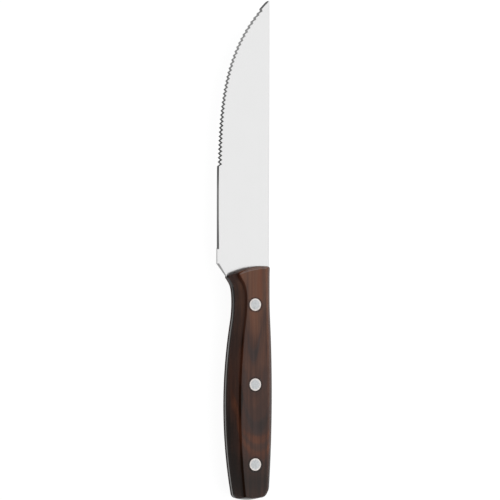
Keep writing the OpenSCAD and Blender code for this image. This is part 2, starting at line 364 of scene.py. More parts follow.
def closed_mesh(name: str, points: np.ndarray, faces: list[list[int]], weld: float = 0.0) -> bpy.types.Mesh:
    """Makes a closed mesh whose faces point outwards.

    Args:
        name: name of the mesh.
        points: one row per point.
        faces: point numbers of each face.
        weld: distance within which points become one, or 0 to keep them all.

    Returns:
        The mesh, with its faces in the order given.
    """
    mesh = bpy.data.meshes.new(name)
    mesh.from_pydata(points.tolist(), [], faces)
    shell = bmesh.new()
    shell.from_mesh(mesh)
    if weld:
        bmesh.ops.remove_doubles(shell, verts=shell.verts, dist=weld)
    bmesh.ops.recalc_face_normals(shell, faces=shell.faces)
    shell.to_mesh(mesh)
    shell.free()
    return mesh


def ring_sides(rings: int, points: int) -> list[list[int]]:
    """Point numbers of the faces between neighbouring closed rings, ring by ring."""
    steps = [(i * points, j, (j + 1) % points) for i in range(rings - 1) for j in range(points)]
    return [[ring + here, ring + on, ring + points + on, ring + points + here] for ring, here, on in steps]


def skin_faces(rings: int, points: int) -> list[list[int]]:
    """Faces through closed rings, side faces first, then the strips that close both ends.

    Args:
        rings: number of rings.
        points: even number of points on each ring, an upper row and then a lower row back.

    Returns:
        Point numbers of each face.
    """
    caps = [
        [end + j, end + j + 1, end + points - 2 - j, end + points - 1 - j]
        for end in (0, (rings - 1) * points)
        for j in range(points // 2 - 1)
    ]
    return ring_sides(rings, points) + caps


def lathe(name: str, profile: Profile, turns: int, weld: float = 0.001 * MM) -> bpy.types.Object:
    """Turns a profile about the z axis.

    Args:
        name: name of the object.
        profile: radius and height of each point, from one pole to the other.
        turns: number of facets round the axis.
        weld: distance within which points become one, as they do at the poles.

    Returns:
        The closed solid.
    """
    angles = np.linspace(0, 2 * math.pi, turns, endpoint=False)
    points = np.array([(r * math.cos(a), r * math.sin(a), z) for r, z in profile for a in angles])
    return new_object(name, closed_mesh(name, points, ring_sides(len(profile), turns), weld))


def shade(piece: bpy.types.Object, sharp_deg: float) -> None:
    """Shades a piece smooth, apart from edges that turn by more than an angle."""
    piece.data.shade_smooth()
    piece.data.set_sharp_from_angle(angle=math.radians(sharp_deg))


def seat(piece: bpy.types.Object, slot: str, *nodes: str) -> None:
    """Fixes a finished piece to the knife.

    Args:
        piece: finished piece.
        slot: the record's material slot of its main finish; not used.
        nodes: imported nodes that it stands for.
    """
    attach(piece, BODY)
    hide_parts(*nodes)
    LOG.info("%s: %d faces, for %s", piece.name, len(piece.data.polygons), ", ".join(nodes))


@dataclass(frozen=True)
class RivetLine:
    """Line on which the rivets stand, and what the holes for them share."""

    first: Vector
    pitch: float
    head_r: float
    head_t: float = 1.4 * MM
    bore_r: float = 2.025 * MM
    places: tuple[str, ...] = ("front", "middle", "rear")

    def inputs(self) -> dict[str, object]:
        """Values for a recipe that sets a shape at each rivet."""
        return {"First Rivet": self.first, "Spacing": self.pitch, "Count": len(self.places)}

    def measure(self, graph: Graph, place: Socket) -> tuple[Socket, Socket]:
        """Measures a place from the rivets.

        Args:
            graph: graph that takes the nodes.
            place: place on the piece.

        Returns:
            The place from the front rivet, and the distance from the axis of the nearest rivet.
        """
        local = graph.vector("SUBTRACT", place, self.first)
        x, y, _ = graph.axes(local)
        beside = graph.math("WRAP", x, -self.pitch / 2, self.pitch / 2)
        square = graph.math("MULTIPLY_ADD", beside, beside, graph.math("MULTIPLY", y, y))
        return local, graph.math("SQRT", square)


@dataclass(frozen=True)
class PaintedShade:
    """Painted shade on a metal: darkening of its colour along the knife, on the edge side of a middle line
    if one is given.
    """

    stops: Stops
    middle: float | None = None
    fade: float = 4 * MM

    def kept(self, graph: Graph, place: Socket) -> Socket:
        """Share of the metal's colour that the painted shade keeps at a place."""
        along, across, _ = graph.axes(place)
        kept = graph.curve(along, self.stops)
        if self.middle is None:
            return kept
        return graph.ramp(across, self.middle - self.fade, self.middle + self.fade, kept)


@dataclass(frozen=True)
class Steel:
    """Steel with fine lines left by grinding or polishing."""

    name: str
    colour: Colour
    roughness: float
    line_size: Triple
    line_depth: float
    cloud: float
    line_share: float = 0.5
    cloud_size: float = 9 * MM
    cloud_shade: float = 0.25
    # Painted shade that darkens the colour along the knife, if any.
    painted_shade: PaintedShade | None = None

    def material(self) -> Finish:
        """Builds the finish from its colour, its lines, a faint cloudiness and any painted shade."""
        coat = Coat(self.name)
        graph, place = coat.graph, coat.place
        lines = graph.noise(place, self.line_size)
        clouds = graph.noise(place, (self.cloud_size,) * 3)
        worn = graph.weighed(lines, clouds, self.line_share)
        least, most = self.roughness * (1 - self.cloud), self.roughness * (1 + self.cloud)
        dull = [part * (1 - self.cloud * self.cloud_shade) for part in self.colour]
        colour = graph.blend(worn, (*self.colour, 1), (*dull, 1))
        # Painted shade darkens the colour here.
        if self.painted_shade:
            colour = graph.tinted(colour, self.painted_shade.kept(graph, place))
        rough = graph.ramp(worn, *NOISE_SPAN, least, most)
        looks = {"Base Color": colour, "Roughness": rough, "Metallic": 1.0}
        return coat.finish(lines, self.line_depth, looks)


@dataclass(frozen=True)
class RivetMetal:
    """Satin rivet metal, sanded flush with the wood."""

    rivets: RivetLine
    name: str = "sanded_rivet_metal"
    colour: Colour = (0.56, 0.576, 0.585)
    rim_colour: Colour = (0.88, 0.81, 0.77)
    rim_from: float = 1.9 * MM
    roughness: float = 0.46
    roughness_swing: float = 0.06
    mottle_size: float = 0.9 * MM
    mottle_span: tuple[float, float] = (0.35, 0.65)
    mottle_gain: float = 0.1
    scratch_size: float = 0.28 * MM
    scratch_depth: float = 0.003 * MM
    scratch_share: float = 0.4

    def material(self) -> Finish:
        """Builds the finish from its colour, a paler rim, a soft mottle and fine random scratches."""
        coat = Coat(self.name)
        graph, place = coat.graph, coat.place
        scratches = graph.noise(place, (self.scratch_size,) * 3, detail=4.0, roughness=0.7)
        mottle = graph.noise(place, (self.mottle_size,) * 3)
        _, from_middle = self.rivets.measure(graph, place)
        rim = graph.ramp(from_middle, self.rim_from, self.rivets.head_r)
        colour = graph.blend(rim, (*self.colour, 1), (*self.rim_colour, 1))
        worn = graph.weighed(scratches, mottle, self.scratch_share)
        gain = graph.ramp(worn, *self.mottle_span, 1 + self.mottle_gain, 1 - self.mottle_gain)
        least, most = self.roughness - self.roughness_swing, self.roughness + self.roughness_swing
        looks = {
            "Base Color": graph.tinted(colour, gain),
            "Roughness": graph.ramp(scratches, *NOISE_SPAN, least, most),
            "Metallic": 1.0,
        }
        return coat.finish(scratches, self.scratch_depth, looks)


@dataclass(frozen=True)
class Figure:
    """Soft oval of darker, lighter, redder or greyer wood, bowed into an arch where its arms run ahead."""

    x: float
    y: float
    half_length: float
    half_width: float
    turn_deg: float = 0.0
    bow: float = 0.0
    tone: float = 0.0
    red: float = 0.0


@dataclass(frozen=True)
class StainedWood:
    """Dark stained hardwood with lengthwise figure, under a satin seal."""

    rivets: RivetLine
    name: str = "satin_wood"
    dark: Colour = (0.0125, 0.0054, 0.0029)
    middle: Colour = (0.046, 0.018, 0.0112)
    light: Colour = (0.118, 0.046, 0.023)
    red: Colour = (1.08, 0.82, 0.6)
    grey: Colour = (0.9, 1.18, 1.6)
    roughness: float = 0.4
    shine: float = 0.33
    # Tone that the painted shade attribute takes off the wood, or adds where it is below 0.
    stain: float = 0.45
    # Painted shade of the gap round each rivet head: a ring of darker wood this wide, darkened by this tone.
    gap_shade_w: float = 1.3 * MM
    gap_shade_tone: float = 0.45
    wave_size: Triple = (22 * MM, 5 * MM, 5 * MM)
    wave_tone: float = 0.3
    wave_reach: float = 1.6 * MM
    streak_size: Triple = (34 * MM, 1.5 * MM, 1.5 * MM)
    streak_tone: float = 0.25
    streak_gain: float = 0.18
    fibre_size: Triple = (6 * MM, 0.16 * MM, 0.16 * MM)
    fibre_tone: float = 0.2
    fibre_depth: float = 0.002 * MM
    hue_size: Triple = (30 * MM, 2.2 * MM, 2.2 * MM)
    hue_shift: Triple = (3, 7, 5)
    hue_spread: float = 1.6
    hue_lean: float = 0.1
    mirror_h: float = 1 * MM
    figure_reach: float = 1.25
    figure_core: float = 0.35
    drift: Stops = (
        (-18 * MM, 1.0),
        (-4 * MM, 0.98),
        (9 * MM, 0.73),
        (20 * MM, 0.54),
        (31 * MM, 0.62),
        (46 * MM, 0.52),
        (56 * MM, 0.45),
        (66 * MM, 0.6),
        (76 * MM, 0.27),
        (83 * MM, 0.1),
        (90 * MM, 0.24),
    )
    figures: tuple[Figure, ...] = (
        Figure(-9 * MM, 2.6 * MM, 14 * MM, 1.6 * MM, tone=0.06, red=0.5),
        Figure(-6 * MM, 4.4 * MM, 24 * MM, 1.4 * MM, tone=-0.17, red=-0.3),
        Figure(-2 * MM, -9.6 * MM, 26 * MM, 3.4 * MM, tone=-0.2, red=-0.4),
        Figure(-9 * MM, -4.6 * MM, 14 * MM, 1.7 * MM, tone=-0.18, red=-0.2),
        Figure(-14 * MM, -9 * MM, 4 * MM, 3 * MM, tone=0.1, red=0.9),
        Figure(-15 * MM, -11 * MM, 18 * MM, 4.5 * MM, tone=-0.32),
        # Painted shade: this figure darkens the strip along the spine-side bevel.
        Figure(-4 * MM, 7.3 * MM, 17 * MM, 2.2 * MM, tone=-0.15),
        Figure(-4.5 * MM, -7.5 * MM, 4 * MM, 2.5 * MM, tone=-0.12),
        Figure(8 * MM, -0.4 * MM, 13 * MM, 2.4 * MM, tone=0.2, red=0.2),
        Figure(24 * MM, -6.8 * MM, 6 * MM, 1.2 * MM, tone=0.2, red=0.4),
        Figure(24.3 * MM, -0.9 * MM, 4.4 * MM, 4.2 * MM, bow=3.4, tone=-0.26, red=-1.0),
        Figure(20 * MM, 5.6 * MM, 10 * MM, 3 * MM, tone=0.12),
        Figure(22 * MM, -9.5 * MM, 18 * MM, 4 * MM, tone=0.09),
        Figure(35 * MM, -10.5 * MM, 14 * MM, 3.5 * MM, tone=-0.07, red=0.2),
        Figure(35.6 * MM, -5.5 * MM, 6 * MM, 1.6 * MM, tone=-0.2, red=-0.7),
        Figure(35 * MM, 4.8 * MM, 6 * MM, 1.8 * MM, tone=-0.14, red=-0.6),
        Figure(46 * MM, -0.5 * MM, 3.5 * MM, 6 * MM, bow=1.5, tone=0.08, red=0.35),
        Figure(58 * MM, 1.4 * MM, 4 * MM, 11 * MM, bow=6.5, tone=-0.2, red=-0.7),
        Figure(52 * MM, -8.8 * MM, 13 * MM, 1.3 * MM, 9, tone=0.3, red=1.0),
        Figure(63.5 * MM, 1.4 * MM, 2.6 * MM, 11 * MM, bow=3.7, tone=0.16, red=0.9),
        Figure(71.5 * MM, 1.4 * MM, 3.2 * MM, 11 * MM, bow=4.9, tone=0.2, red=0.9),
        Figure(43 * MM, -7.5 * MM, 26 * MM, 1.2 * MM, red=1.1),
        Figure(45 * MM, -7.3 * MM, 8 * MM, 1 * MM, tone=-0.4),
        Figure(77 * MM, -12.2 * MM, 33 * MM, 3.6 * MM, tone=-0.6),
    )

    def figure_share(self, graph: Graph, local: Socket, figure: Figure) -> Socket:
        """Share of a figure at a place, from 1 in its middle to 0 outside."""
        turned = {
            "Vector": local,
            "Location": (figure.x, figure.y, 0),
            "Rotation": (0, 0, math.radians(figure.turn_deg)),
            "Scale": (figure.half_length, figure.half_width, 1),
        }
        flat = graph.add("ShaderNodeMapping", turned, vector_type="TEXTURE")
        x, y, _ = graph.axes(flat)
        aside = graph.math("MULTIPLY", y, y)
        along = graph.math("MULTIPLY_ADD", aside, figure.bow, x)
        reach = graph.math("SQRT", graph.math("MULTIPLY_ADD", along, along, aside))
        return graph.ramp(reach, self.figure_reach, self.figure_core)

    def figured(self, graph: Graph, local: Socket, waves: Socket, hues: Socket) -> tuple[Socket, Socket]:
        """Tone and redness from the drift along the grip and the figures, which the right scale mirrors.

        Args:
            graph: graph that takes the nodes.
            local: place from the front rivet.
            waves: noise that bends the figures.
            hues: noise of redder and greyer streaks.

        Returns:
            The tone, dark at 0 and light at 1, and the redness, grey at -1 and red at 1.
        """
        along, _, height = graph.axes(local)
        tone = graph.curve(along, self.drift)
        redness = graph.math("MULTIPLY_ADD", graph.swing(hues), self.hue_spread, self.hue_lean)
        mirror = graph.joined(1.0, graph.ramp(height, -self.mirror_h, self.mirror_h, -1.0), 1.0)
        wavy = graph.vector("MULTIPLY", graph.bent(local, waves, self.wave_reach), mirror)
        for figure in self.figures:
            share = self.figure_share(graph, wavy, figure)
            tone = graph.math("MULTIPLY_ADD", share, figure.tone, tone)
            redness = graph.math("MULTIPLY_ADD", share, figure.red, redness)
        return tone, redness

    def stained(self, graph: Graph, tone: Socket, redness: Socket) -> Socket:
        """Colour of the wood at a tone and a redness."""
        low = graph.blend(graph.ramp(tone, 0.0, 0.5), (*self.dark, 1), (*self.middle, 1))
        colour = graph.blend(graph.ramp(tone, 0.5, 1.0), low, (*self.light, 1))
        colour = graph.blend(graph.ramp(redness, 0.0, 1.0), colour, (*self.red, 1), "MULTIPLY")
        return graph.blend(graph.ramp(redness, 0.0, -1.0), colour, (*self.grey, 1), "MULTIPLY")

    def material(self) -> Finish:
        """Builds the finish from its figures, waves, streaks, fibres, painted shade and sheen on the scale's
        walls, bevels and ridges, and painted shade round the rivets.
        """
        coat = Coat(self.name)
        graph, place = coat.graph, coat.place
        local, from_rivet = self.rivets.measure(graph, place)
        waves = graph.noise(place, self.wave_size)
        streaks = graph.noise(place, self.streak_size, detail=4.0)
        fibres = graph.noise(place, self.fibre_size)
        hues = graph.noise(place, self.hue_size, shift=self.hue_shift)
        tone, redness = self.figured(graph, local, waves, hues)
        changes = (
            (graph.swing(waves), self.wave_tone),
            (graph.swing(streaks), self.streak_tone),
            (graph.swing(fibres), self.fibre_tone),
            # Painted shade and sheen read from the scale's attribute.
            (graph.node("ShaderNodeAttribute", {}, attribute_name=PAINTED_SHADE_SHEEN).outputs["Fac"], -self.stain),
            # Painted shade round each rivet head.
            (graph.ramp(from_rivet, self.rivets.head_r + self.gap_shade_w, self.rivets.head_r), -self.gap_shade_tone),
        )
        for share, size in changes:
            tone = graph.math("MULTIPLY_ADD", share, size, tone)
        gain = graph.ramp(streaks, *NOISE_SPAN, 1 - self.streak_gain, 1 + self.streak_gain)
        looks = {
            "Base Color": graph.tinted(self.stained(graph, tone, redness), gain),
            "Roughness": self.roughness,
            "Specular IOR Level": self.shine,
        }
        return coat.finish(fibres, self.fibre_depth, looks)

    def finishes(self) -> dict[ScalePart, Finish]:
        """Finish of each part of a scale: satin flat, shinier end with a painted highlight in its paler
        colour, worn ridge, sanded bevels, matt walls.
        """
        woods = {
            ScalePart.FLAT: self,
            # The end's paler light colour is a painted highlight on the front rounding.
            ScalePart.END: replace(
                self, name="end_wood", light=(0.15, 0.08, 0.058), roughness=0.42, shine=0.8
            ),
            ScalePart.RIDGE: replace(self, name="worn_wood", roughness=0.5, shine=0.04),
            ScalePart.BEVEL: replace(self, name="sanded_wood", roughness=0.6, shine=0.27),
            ScalePart.WALL: replace(self, name="matt_wood", roughness=0.7, shine=0.1),
        }
        return {part: wood.material() for part, wood in woods.items()}


@dataclass(frozen=True)
class PackedKnife:
    """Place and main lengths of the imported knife."""

    origin: Vector
    blade_l: float
    steel_half: float
    grip_l: float
    grip_half: float
    rivets: RivetLine

    @classmethod
    def measured(cls, rivet_x: float = 18.1 * MM) -> "PackedKnife":
        """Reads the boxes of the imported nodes.

        Args:
            rivet_x: distance of the front rivet from the front of the grip.

        Returns:
            The knife's place and main lengths.
        """
        blade_low, blade_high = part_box("blade")
        front_low, front_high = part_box("front_rivet_pin")
        rear_low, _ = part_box("rear_rivet_pin")
        grip_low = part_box("right_scale")[0].z
        grip_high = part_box("left_scale")[1].z
        front = (front_low + front_high) / 2
        origin = Vector((front.x - rivet_x, front.y, (blade_low.z + blade_high.z) / 2))
        rivets = RivetLine(
            first=origin + Vector((rivet_x, 0, 0)),
            pitch=(rear_low.x - front_low.x) / 2,
            head_r=(front_high.x - front_low.x) / 2,
        )
        return cls(
            origin=origin,
            blade_l=origin.x - blade_low.x,
            steel_half=(blade_high.z - blade_low.z) / 2,
            grip_l=blade_high.x - origin.x,
            grip_half=(grip_high - grip_low) / 2,
            rivets=rivets,
        )

    def placed(self, points: np.ndarray) -> np.ndarray:
        """Moves points from the knife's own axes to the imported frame, as one row per point."""
        return points.reshape(-1, 3) + np.array(self.origin)


@dataclass(frozen=True)
class GripOutline:
    """Side view of the grip, which the tang and both scales share."""

    packed: PackedKnife
    spine_h: float = 9.8 * MM
    edge_drop: float = 16.5 * MM
    heel_gap: float = 1.3 * MM
    heel_angle_deg: float = 38.3
    heel_blend: float = 0.7 * MM
    neck_x: float = 16.5 * MM
    neck_drop: float = 8.1 * MM
    belly_x: float = 66 * MM
    belly_drop: float = 12.25 * MM
    belly_turn_x: float = 27 * MM
    dip_x: float = 15 * MM
    dip_h: float = 9.55 * MM
    dip_power: float = 8
    swell_x: float = 60 * MM
    swell_h: float = 10.7 * MM
    swell_turn_x: float = 25 * MM
    front_r: float = 36 * MM
    front_apex: float = 6.3 * MM
    butt_r: float = 24 * MM
    butt_apex: float = -0.9 * MM
    butt_edge_corner_r: float = 1.4 * MM
    butt_spine_corner_r: float = 3.5 * MM
    settle_rounds: int = 12

    @staticmethod
    def hollow_and_swell(
        x: Numbers, hollow: tuple[float, float], swell: tuple[float, float], turn_x: float
    ) -> Numbers:
        """Height of a hollow and a swell, two arcs that touch.

        Args:
            x: places along the grip.
            hollow: place and height of the hollow's lowest point.
            swell: place and height of the swell's highest point.
            turn_x: place at which the arcs touch.

        Returns:
            Heights at those places.
        """
        reach, rise = swell[0] - hollow[0], swell[1] - hollow[1]
        both_r = (reach**2 + rise**2) / (2 * rise)
        hollow_r = both_r * (turn_x - hollow[0]) / reach
        swell_r = both_r - hollow_r
        low = hollow[1] + hollow_r - np.sqrt(np.maximum(hollow_r**2 - (x - hollow[0]) ** 2, 0))
        high = swell[1] - swell_r + np.sqrt(np.maximum(swell_r**2 - (x - swell[0]) ** 2, 0))
        return np.where(x < turn_x, low, high)

    def edge_y(self, x: Numbers) -> Numbers:
        """Height of the grip's edge side at x: the heel cut, the neck and the belly."""
        heel = -self.edge_drop + math.tan(math.radians(self.heel_angle_deg)) * (x + self.heel_gap)
        neck, belly = (self.neck_x, self.neck_drop), (self.belly_x, self.belly_drop)
        depth = self.hollow_and_swell(np.maximum(0, x), neck, belly, self.belly_turn_x)
        return -smooth_max(-heel, depth, self.heel_blend)

    def spine_y(self, x: Numbers) -> Numbers:
        """Height of the grip's spine side at x: the dip and the swell."""
        ahead = np.maximum(0, self.dip_x - x) / self.dip_x
        front = self.dip_h + (self.spine_h - self.dip_h) * ahead**self.dip_power
        dip, swell = (self.dip_x, self.dip_h), (self.swell_x, self.swell_h)
        rear = self.hollow_and_swell(x, dip, swell, self.swell_turn_x)
        return np.where(x < self.dip_x, front, rear)

    def station_x(self, share: Numbers, y: Numbers, z: Numbers) -> Numbers:
        """Place of a point on the station at a share of the way from the curved front to the domed butt."""
        front = self.front_r - np.sqrt(self.front_r**2 - (y - self.front_apex) ** 2)
        dome = np.sqrt(self.butt_r**2 - (y - self.butt_apex) ** 2 - z**2)
        return mix(front, self.packed.grip_l - self.butt_r + dome, share)

    def butt_inset(self, flank: Flank, share: Numbers) -> Numbers:
        """Inset of the butt's rounded corner on one side."""
        radius = self.butt_edge_corner_r if flank is Flank.EDGE else self.butt_spine_corner_r
        return corner_inset(radius, (1 - share) * self.packed.grip_l)

    def side_y(self, flank: Flank, share: np.ndarray, inset: Numbers) -> np.ndarray:
        """Height of one side at each station, settled on the curved ends.

        Args:
            flank: side of the grip.
            share: stations from the front to the butt.
            inset: distance by which rounded corners draw the side in.

        Returns:
            Height at each station.
        """
        outline = self.edge_y if flank is Flank.EDGE else self.spine_y
        y = np.zeros_like(share)
        for _ in range(self.settle_rounds):
            y = outline(self.station_x(share, y, 0.0)) - flank.value * inset
        return y

    def stations(self, front_zone: float, butt_zone: float, step: float, round_steps: int) -> np.ndarray:
        """Shares along the grip, close together where its ends are rounded.

        Args:
            front_zone: length of the rounded front.
            butt_zone: length of the rounded butt.
            step: longest step between the two.
            round_steps: number of steps in each rounded end.

        Returns:
            Shares from 0 to 1.
        """
        length = self.packed.grip_l
        shares = arc_shares(round_steps)
        count = math.ceil((length - front_zone - butt_zone) / step)
        plain = np.linspace(front_zone, length - butt_zone, count + 1)[1:-1]
        return np.concatenate([shares * front_zone, plain, length - shares[::-1] * butt_zone]) / length


@dataclass(frozen=True)
class Blade:
    """Steel blank: the blade with its toothed ground edge, and the tang between the scales."""

    packed: PackedKnife
    grip: GripOutline
    name: str = "toothed_blade"
    tip_rise: float = 0.5 * MM
    sweep_start: float = 10 * MM
    sweep_power: float = 4.65
    tip_w: float = 0.3 * MM
    tip_r: float = 0.9 * MM
    edge_t: float = 0.6 * MM
    bevel_w: float = 0.88 * MM
    bevel_share: float = 0.6
    bevel_follow: float = 1.15
    edge_land: float = 0.05 * MM
    ricasso_l: float = 8 * MM
    run_out: float = 0.8 * MM
    taper_fade: float = 26 * MM
    teeth_from: float = 47 * MM
    tip_plain: float = 3.5 * MM
    tooth_pitch: float = 2.01 * MM
    tooth_depth: float = 1.2 * MM
    tip_tooth_depth: float = 0.7 * MM
    tooth_set: float = 0.2 * MM
    spine_r: float = 0.15 * MM
    tang_r: float = 0.08 * MM
    step: float = 1 * MM
    face_rows: int = 10
    corner_steps: int = 8
    bore_turns: int = 48
    sharp_deg: float = 9
    # Painted shade along the ground edge: share of its colour kept at each distance from the grip, darker
    # where the edge bevel looks dark.
    edge_painted_shade: Stops = (
        (123 * MM, 0.38),
        (118 * MM, 0.84),
        (106 * MM, 1.0),
        (84 * MM, 0.68),
        (63 * MM, 0.28),
        (45 * MM, 0.3),
        (35 * MM, 0.78),
        (24 * MM, 0.7),
        (12 * MM, 0.6),
    )
    # Painted shade on the tang's cut sides: share of colour kept, darkest near the front of the grip, on the
    # edge side only.
    tang_painted_shade: Stops = ((8 * MM, 0.08), (40 * MM, 0.4))

    @property
    def tooth_count(self) -> int:
        """Number of teeth that the sweep holds."""
        return math.floor((self.packed.blade_l - self.tip_plain - self.teeth_from) / self.tooth_pitch)

    @property
    def teeth_to(self) -> float:
        """Distance of the last tooth from the grip."""
        return self.teeth_from + self.tooth_count * self.tooth_pitch

    def spine_y(self, d: Numbers) -> Numbers:
        """Height of the spine at a distance from the grip towards the tip."""
        return self.grip.spine_h + self.tip_rise * d / self.packed.blade_l

    @property
    def edge_lift(self) -> float:
        """Height by which the edge sweeps up towards the tip."""
        return self.spine_y(self.packed.blade_l) - self.tip_w - self.tip_r + self.grip.edge_drop

    def sweep_share(self, d: Numbers) -> Numbers:
        """Share of the sweep's length that lies behind a distance from the grip."""
        return np.maximum(0, d - self.sweep_start) / (self.packed.blade_l - self.sweep_start)

    def edge_y(self, d: Numbers) -> Numbers:
        """Height of the plain edge at a distance from the grip towards the tip."""
        swept = self.edge_lift * self.sweep_share(d) ** self.sweep_power - self.grip.edge_drop
        return swept + corner_inset(self.tip_r, self.packed.blade_l - d)

    def bevel_reach(self, d: Numbers) -> Numbers:
        """Height of the ground bevel, whose width is square to the edge."""
        steepest = self.edge_lift * self.sweep_power / (self.packed.blade_l - self.sweep_start)
        return self.bevel_w * np.hypot(1, steepest * self.sweep_share(d) ** (self.sweep_power - 1))

    def stations(self) -> np.ndarray:
        """Distances from the grip at which the blade has a ring, from the tip to the heel."""
        ground_from = self.ricasso_l + self.run_out
        # A trace more than half a pitch, so that rounding adds no ring to the teeth.
        half_pitch = self.tooth_pitch / 2 * 1.001

        def run(start: float, end: float, step: float) -> np.ndarray:
            """Even steps from start up to, but not at, end."""
            return np.linspace(start, end, math.ceil(abs(end - start) / step), endpoint=False)

        return np.concatenate(
            [
                self.packed.blade_l - self.tip_r * arc_shares(self.corner_steps)[:-1],
                run(self.packed.blade_l - self.tip_r, self.teeth_to, self.step / 2),
                run(self.teeth_to, self.teeth_from, half_pitch),
                run(self.teeth_from, ground_from, self.step),
                [ground_from],
                run(self.ricasso_l, self.grip.heel_gap, self.step),
                [self.grip.heel_gap],
            ]
        )

    def corner(self, radius: float) -> np.ndarray:
        """Rounded corner of that radius, as distances back from the side and down from the face."""
        turn = np.linspace(0, math.pi / 2, self.corner_steps + 1)
        return np.stack([radius * (1 - np.sin(turn)), radius * (1 - np.cos(turn))])

    def blade_rows(self) -> tuple[np.ndarray, np.ndarray]:
        """Left half of the blade's rings, from the edge to the spine.

        Returns:
            The points, and how far each one follows the edge when a tooth sets it back.
        """
        d = self.stations()[:, None]
        edge, spine = self.edge_y(d), self.spine_y(d)
        edge_half, steel_half = self.edge_t / 2, self.packed.steel_half
        full_width = self.grip.spine_h + self.grip.edge_drop
        fade = smooth_step((d - self.grip.heel_gap) / (self.taper_fade - self.grip.heel_gap))
        behind_edge = mix(steel_half, edge_half, fade)
        at_spine = mix(edge_half, steel_half, (spine - edge) / full_width)
        at_spine = np.where(d <= self.grip.heel_gap, steel_half, at_spine)
        taper = (at_spine - behind_edge) / (spine - edge)
        shoulder = np.minimum(edge + self.bevel_reach(d), mix(edge, spine, self.bevel_share))
        back, down = self.corner(self.spine_r)
        low, high = shoulder, spine - self.spine_r
        shares = np.linspace(0, 1, self.face_rows + 1)[None, 1:-1]
        y = np.concatenate([edge, shoulder, mix(low, high, shares), spine - back], axis=1)
        z = behind_edge + taper * (y - edge)
        z[:, -len(down):] -= down
        z[:, :1] = np.where(d > self.ricasso_l, self.edge_land / 2, z[:, :1])
        follow = self.bevel_follow * np.clip((high - y) / (high - low), 0, 1)
        follow[:, 0] = 1
        points = np.stack([np.broadcast_to(-d, y.shape), y, z], axis=2)
        across = np.stack([np.zeros_like(y), follow, follow * taper], axis=2)
        across[:, 0, 2] = 0
        return points, across

    def tang_rows(self) -> np.ndarray:
        """Left half of the tang's rings, from the edge side to the spine side."""
        grip = self.grip
        share = grip.stations(self.step, grip.butt_spine_corner_r, self.step, self.corner_steps)
        edge = grip.side_y(Flank.EDGE, share, grip.butt_inset(Flank.EDGE, share))[:, None]
        spine = grip.side_y(Flank.SPINE, share, grip.butt_inset(Flank.SPINE, share))[:, None]
        back, down = self.corner(self.tang_r)
        low, high = edge + self.tang_r, spine - self.tang_r
        shares = np.linspace(0, 1, self.face_rows + 1)[None, 1:-1]
        y = np.concatenate([edge, low, mix(low, high, shares), spine - back], axis=1)
        z = np.full_like(y, self.packed.steel_half)
        z[:, :1] -= self.tang_r
        z[:, -len(down):] -= down
        return np.stack([grip.station_x(share[:, None], y, 0.0), y, z], axis=2)

    def mesh(self) -> bpy.types.Mesh:
        """Mesh of the blank with a plain edge, carrying what the tooth recipe reads."""
        blade, across = self.blade_rows()
        tang = self.tang_rows()
        upper = np.concatenate([blade, tang])
        follow = np.concatenate([across, np.zeros_like(tang)])
        mirror = np.array([1, 1, -1])
        points = np.concatenate([upper, upper[:, ::-1] * mirror], axis=1)
        follow = np.concatenate([follow, follow[:, ::-1] * mirror], axis=1)
        rings, count = points.shape[:2]
        mesh = closed_mesh(self.name, self.packed.placed(points), skin_faces(rings, count))
        self.mark_points(mesh, -points[:, :, 0].ravel(), follow.reshape(-1, 3))
        self.mark_faces(mesh, rings, count, len(blade))
        return mesh

    @staticmethod
    def mark_points(mesh: bpy.types.Mesh, along: np.ndarray, across: np.ndarray) -> None:
        """Writes each point's distance from the grip, and how it follows a tooth, to the mesh."""
        mesh.attributes.new("along", "FLOAT", "POINT").data.foreach_set("value", along)
        mesh.attributes.new("across", "FLOAT_VECTOR", "POINT").data.foreach_set("vector", across.ravel())

    def mark_faces(self, mesh: bpy.types.Mesh, rings: int, count: int, blade_rings: int) -> None:
        """Marks the faces of the ground edge, of the eased spine and heel, and of the tang's cut sides.

        Args:
            mesh: mesh of the blank.
            rings: number of its rings.
            count: points on each ring.
            blade_rings: number of rings that belong to the blade.
        """
        edge_sides = [0, count - 2, count - 1]
        spine_sides = list(range(count // 2 - self.corner_steps - 1, count // 2 + self.corner_steps))
        ground, eased, cut = np.zeros((3, rings - 1, count), bool)
        is_ground = self.stations()[:-1] > self.ricasso_l
        ground[: blade_rings - 1][np.ix_(is_ground, edge_sides)] = True
        ground[blade_rings - 1, edge_sides] = True
        eased[: blade_rings - 1][~is_ground, count - 1] = True
        eased[:blade_rings, spine_sides] = True
        cut[blade_rings:, edge_sides + spine_sides] = True
        caps = count - 2
        for name, marks, on_cap in (("ground", ground, False), ("eased", eased, False), ("cut", cut, True)):
            values = np.concatenate([marks.ravel(), np.zeros(caps // 2, bool), np.full(caps // 2, on_cap)])
            mesh.attributes.new(name, "BOOLEAN", "FACE").data.foreach_set("value", values)

